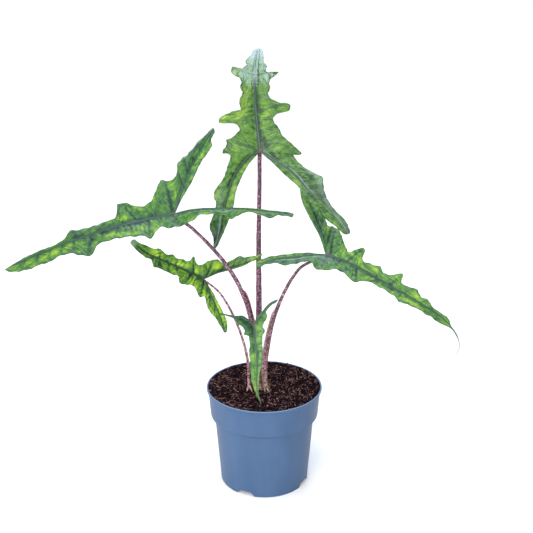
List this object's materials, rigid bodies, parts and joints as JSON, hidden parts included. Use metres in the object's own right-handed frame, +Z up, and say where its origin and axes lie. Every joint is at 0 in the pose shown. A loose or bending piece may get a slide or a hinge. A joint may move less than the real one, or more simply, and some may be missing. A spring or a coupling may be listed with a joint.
{
  "type": "potted alocasia plant",
  "caption": "Potted alocasia with jagged, arrow-shaped leaves on slim mottled stalks, rooted in soil in a round tapered nursery pot with a stepped collar.",
  "frame": {"origin": "middle of the pot's foot, on the surface that it stands on", "axes": "+Z up along the pot's axis, -Y towards the side that the leaves face"},
  "size_m": [0.4035, 0.2279, 0.4383],
  "materials": {
    "pot": "satin moulded plastic, slate blue",
    "soil": "crumbly dark peat with bark fibres",
    "corm": "dry papery skin",
    "stalk": "smooth and fleshy, mauve with dark maroon dashes",
    "blade": "waxy leaf, lime between dark blue-green veins"
  },
  "bodies": {
    "root": {"pot": "pot", "soil": "soil", "corm": "corm", "stalk_tall": "stalk", "stalk_left": "stalk", "stalk_right": "stalk", "stalk_low": "stalk", "stalk_front": "stalk", "blade_tall": "blade", "blade_left": "blade", "blade_right": "blade", "blade_low": "blade", "blade_front": "blade"}
  },
  "joints": []
}
